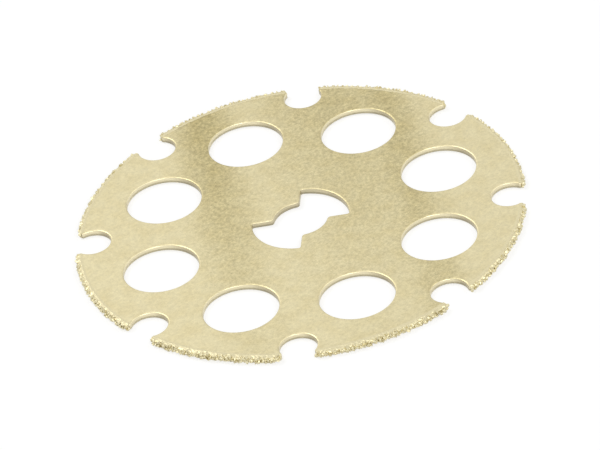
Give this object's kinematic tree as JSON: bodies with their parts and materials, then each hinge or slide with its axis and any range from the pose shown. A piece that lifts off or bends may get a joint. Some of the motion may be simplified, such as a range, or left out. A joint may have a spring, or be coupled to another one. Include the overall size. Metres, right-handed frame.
{
  "type": "wood cutting wheel",
  "caption": "Thin stamped steel cutting wheel for a rotary tool, with carbide grit on its rim lands, round relief holes, rim gullets and a bow-tie drive slot.",
  "frame": {"origin": "centre of the wheel, on its axis and at the mid-plane of the plate", "axes": "+Z along the wheel's axis, out of the face whose cut edges are rolled; +X along the two wings of the drive slot"},
  "size_m": [0.038, 0.038, 0.0006],
  "materials": {
    "plate": "satin pale-gold plated steel with a fine sandy speckle",
    "grit": "coarse carbide grains in a golden braze"
  },
  "bodies": {
    "root": {"plate": "plate", "grit_1": "grit", "grit_2": "grit", "grit_3": "grit", "grit_4": "grit", "grit_5": "grit", "grit_6": "grit", "grit_7": "grit", "grit_8": "grit"}
  },
  "joints": []
}
